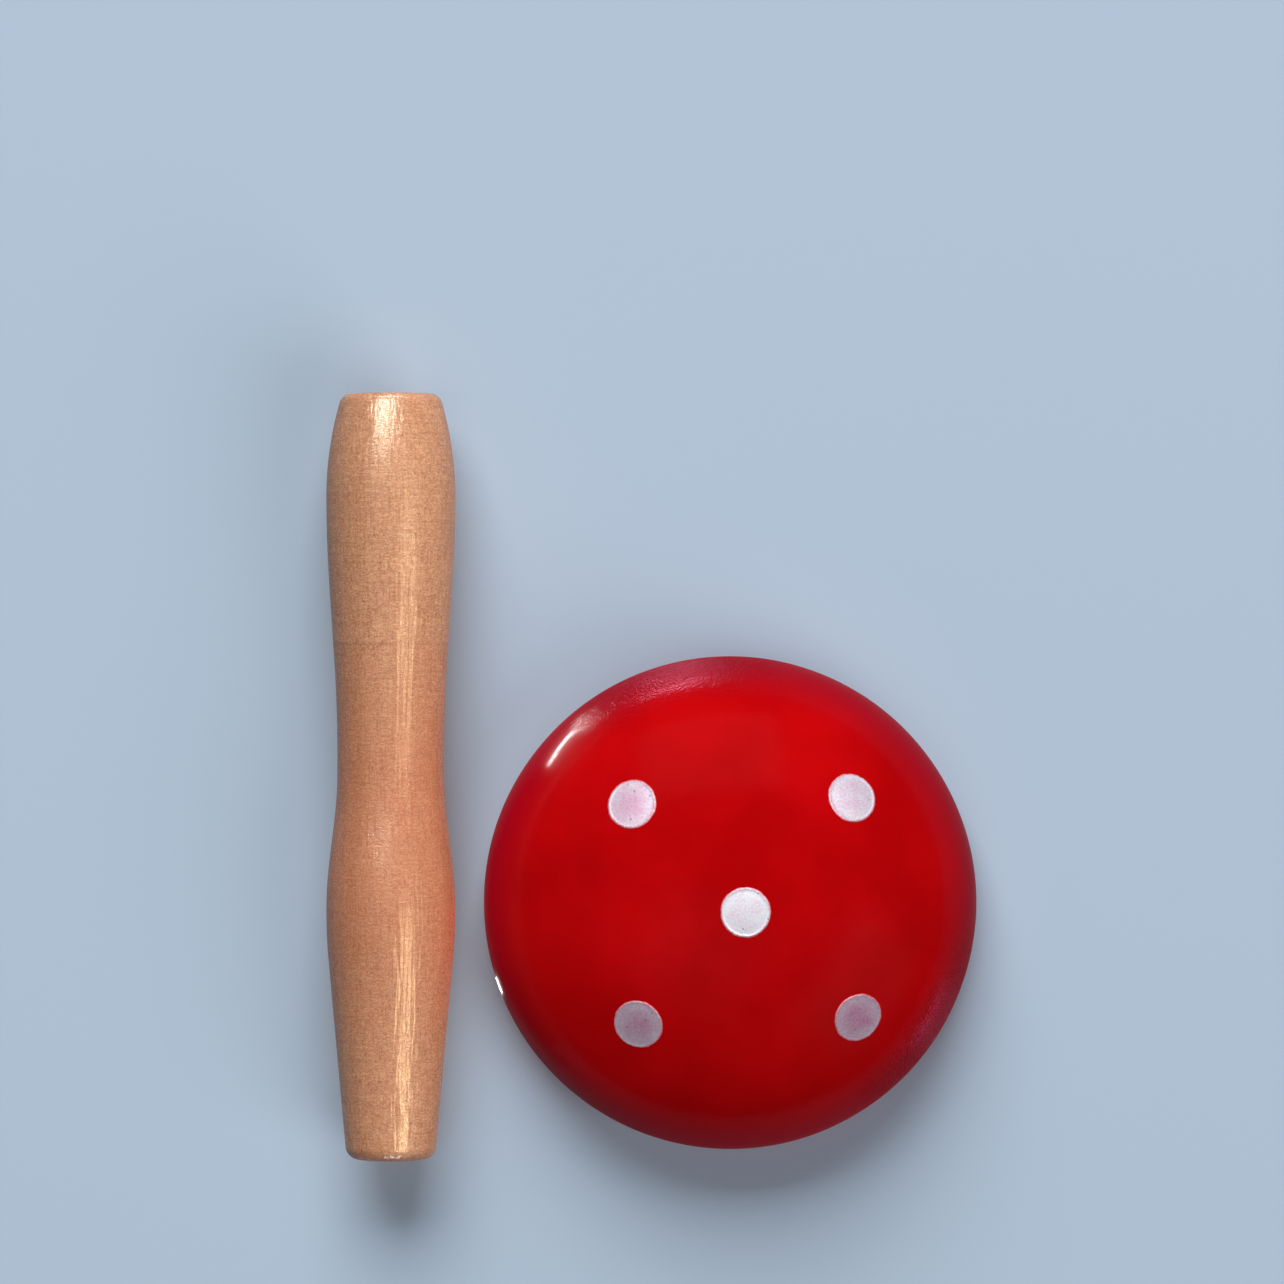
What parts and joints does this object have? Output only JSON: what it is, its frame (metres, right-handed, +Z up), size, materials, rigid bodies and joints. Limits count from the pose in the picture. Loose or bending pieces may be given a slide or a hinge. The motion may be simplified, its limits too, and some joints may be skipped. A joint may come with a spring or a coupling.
{
  "type": "darning mushroom",
  "caption": "Domed red darning cap with white spots on a flat underside with a socket, and its turned wooden plug-in handle lying beside it.",
  "frame": {"origin": "centre of the mouth of the cap's socket, on the surface that both pieces rest on", "axes": "+Z up along the cap's axis, out of the dome; +Y along the lying handle, towards its blunt grip end; +X from the handle to the cap"},
  "size_m": [0.0737, 0.0865, 0.0207],
  "materials": {
    "red_lacquer": "turned wood under red gloss lacquer",
    "lacquered_beech": "turned beech under clear satin lacquer",
    "white_paint": "stamped satin white paint"
  },
  "bodies": {
    "cap_piece": {"cap": "red_lacquer", "spot_centre": "white_paint", "spot_back_left": "white_paint", "spot_back_right": "white_paint", "spot_front_left": "white_paint", "spot_front_right": "white_paint"},
    "handle_piece": {"handle": "lacquered_beech"}
  },
  "joints": [
    {"name": "handle_lift", "type": "slide", "parent": "cap_piece", "child": "handle_piece", "axis": [0, 0, 1], "range_m": [0, 0.05]}
  ]
}
